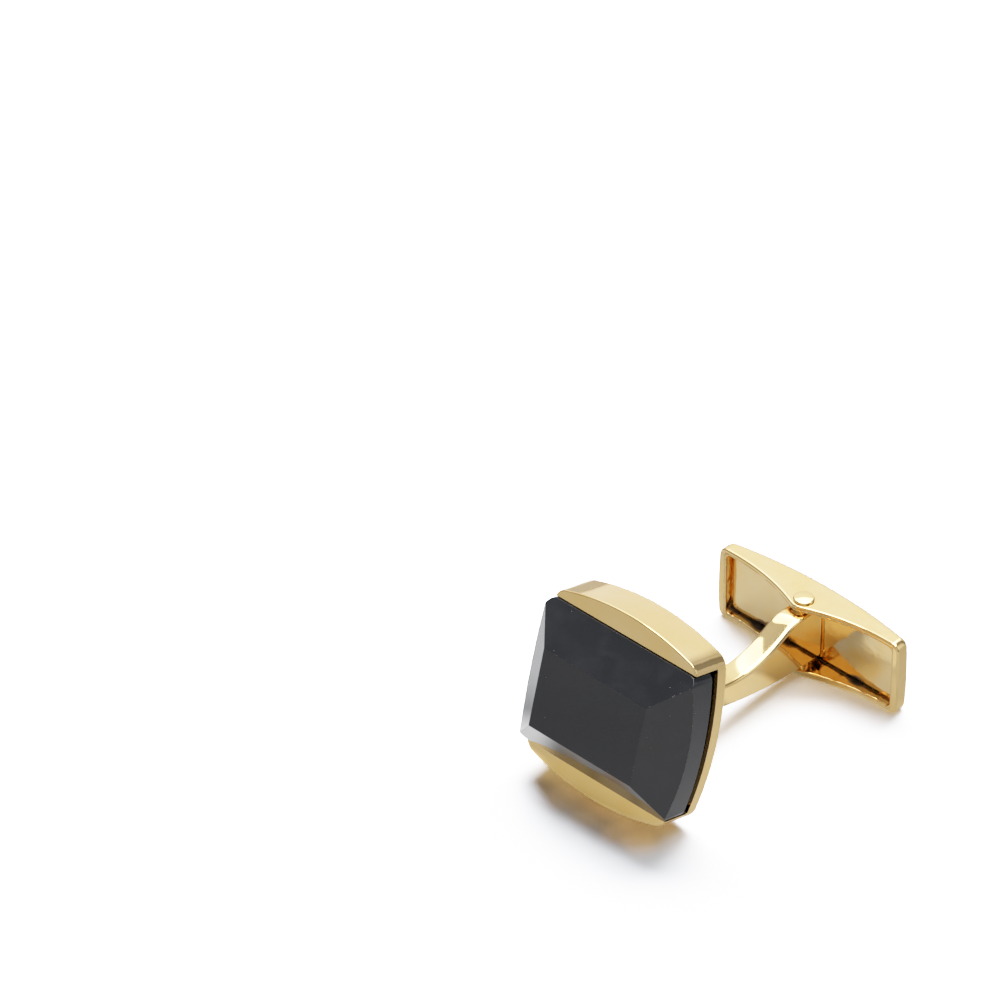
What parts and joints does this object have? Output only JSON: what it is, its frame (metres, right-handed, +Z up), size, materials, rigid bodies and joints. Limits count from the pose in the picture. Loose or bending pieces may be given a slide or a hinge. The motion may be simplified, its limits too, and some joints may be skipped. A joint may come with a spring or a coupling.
{
  "type": "cufflink",
  "caption": "Swivel-bar cufflink: a black faceted stone between the crescent rails of a polished gold cushion frame, with a curved post and a hollow toggle on a rivet.",
  "frame": {"origin": "centre of the part's footprint on the table it lies on", "axes": "+X along the open toggle, +Y from the stone towards the toggle, +Z up"},
  "size_m": [0.0194, 0.0292, 0.017],
  "materials": {
    "gold": "mirror-polished gold plate",
    "spring": "gold-plated spring strip, rolled",
    "stone": "polished black onyx, faceted",
    "adhesive": "cured epoxy"
  },
  "bodies": {
    "head": {"head_frame": "gold", "stone": "stone", "stone_adhesive": "adhesive", "post": "gold"},
    "toggle": {"toggle_shell": "gold", "leaf_spring": "spring", "pivot_pin": "gold"}
  },
  "joints": [
    {"name": "toggle_swivel", "type": "hinge", "parent": "head", "child": "toggle", "pos_m": [0, 0.01177, 0.0035], "axis": [0, 0, 1], "range_deg": [-85, 85], "deforming": ["leaf_spring"]}
  ]
}
